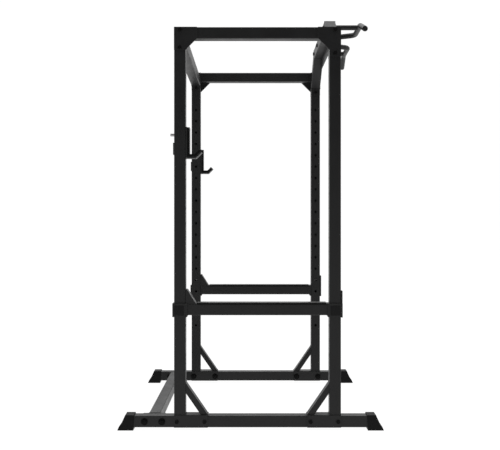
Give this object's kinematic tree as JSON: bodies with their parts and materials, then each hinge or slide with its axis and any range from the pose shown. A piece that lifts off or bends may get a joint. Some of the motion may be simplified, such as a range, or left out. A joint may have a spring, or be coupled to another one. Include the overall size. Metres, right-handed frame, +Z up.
{
  "type": "power cage",
  "caption": "Free-standing squat cage of square tube: drilled uprights on feet, arched pull-up tube with handles, bar hooks and swing-out safety bars.",
  "frame": {"origin": "on the floor, in the middle of the four feet", "axes": "+X is the front, the pull-up side; +Y is the right-hand side; +Z is up"},
  "size_m": [1.388, 1.265, 2.208],
  "materials": {
    "black_powder_coat": "semi-gloss black powder coat",
    "rubber": "matt moulded black",
    "black_plastic": "matt black",
    "liner_plastic": "smooth dull black",
    "zinc_steel": "bright zinc plate",
    "black_fasteners": "black oxide, lightly oiled"
  },
  "bodies": {
    "frame": {"arch_web": "black_powder_coat", "arched_crossmember": "black_powder_coat", "base_bracket_bolts": "black_fasteners", "base_crossmember_bolts": "black_fasteners", "base_nuts": "black_fasteners", "base_washers": "black_fasteners", "handle_bolts": "black_fasteners", "left_base_beam": "black_powder_coat", "left_front_base_bracket": "black_powder_coat", "left_front_brace": "black_powder_coat", "left_front_corner_plate": "black_powder_coat", "left_front_foot": "rubber", "left_front_upright": "black_powder_coat", "left_handle_cap": "black_plastic", "left_pull_up_handle": "black_powder_coat", "left_rear_base_bracket": "black_powder_coat", "left_rear_brace": "black_powder_coat", "left_rear_corner_plate": "black_powder_coat", "left_rear_foot": "rubber", "left_rear_upright": "black_powder_coat", "left_side_beam": "black_powder_coat", "rear_base_crossmember": "black_powder_coat", "rear_top_crossmember": "black_powder_coat", "right_base_beam": "black_powder_coat", "right_front_base_bracket": "black_powder_coat", "right_front_brace": "black_powder_coat", "right_front_corner_plate": "black_powder_coat", "right_front_foot": "rubber", "right_front_upright": "black_powder_coat", "right_handle_cap": "black_plastic", "right_pull_up_handle": "black_powder_coat", "right_rear_base_bracket": "black_powder_coat", "right_rear_brace": "black_powder_coat", "right_rear_corner_plate": "black_powder_coat", "right_rear_foot": "rubber", "right_rear_upright": "black_powder_coat", "right_side_beam": "black_powder_coat", "top_bolts": "black_fasteners", "top_nuts": "black_fasteners", "upright_plugs": "black_plastic"},
    "left_hook_unit": {"left_hook": "black_powder_coat", "left_hook_liner": "liner_plastic", "left_hook_peg": "zinc_steel"},
    "left_safety_unit": {"left_safety_bar": "black_powder_coat", "left_safety_strip": "liner_plastic", "left_rear_saddle": "black_powder_coat", "left_front_saddle": "black_powder_coat", "left_safety_pegs": "zinc_steel", "left_saddle_covers": "black_plastic"},
    "right_hook_unit": {"right_hook": "black_powder_coat", "right_hook_liner": "liner_plastic", "right_hook_peg": "zinc_steel"},
    "right_safety_unit": {"right_safety_bar": "black_powder_coat", "right_safety_strip": "liner_plastic", "right_rear_saddle": "black_powder_coat", "right_front_saddle": "black_powder_coat", "right_safety_pegs": "zinc_steel", "right_saddle_covers": "black_plastic"}
  },
  "joints": [
    {"name": "left_hook_swing", "type": "hinge", "parent": "frame", "child": "left_hook_unit", "pos_m": [-0.3694, -0.5875, 1.5441], "axis": [1, 0, 0], "range_deg": [0, 105]},
    {"name": "right_hook_swing", "type": "hinge", "parent": "frame", "child": "right_hook_unit", "pos_m": [-0.3694, 0.5875, 1.5441], "axis": [1, 0, 0], "range_deg": [0, 105]},
    {"name": "left_safety_swing", "type": "hinge", "parent": "frame", "child": "left_safety_unit", "pos_m": [0.0362, -0.5875, 0.6982], "axis": [-1, 0, 0], "range_deg": [0, 98]},
    {"name": "right_safety_swing", "type": "hinge", "parent": "frame", "child": "right_safety_unit", "pos_m": [0.0362, 0.5875, 0.6982], "axis": [1, 0, 0], "range_deg": [0, 98]}
  ]
}
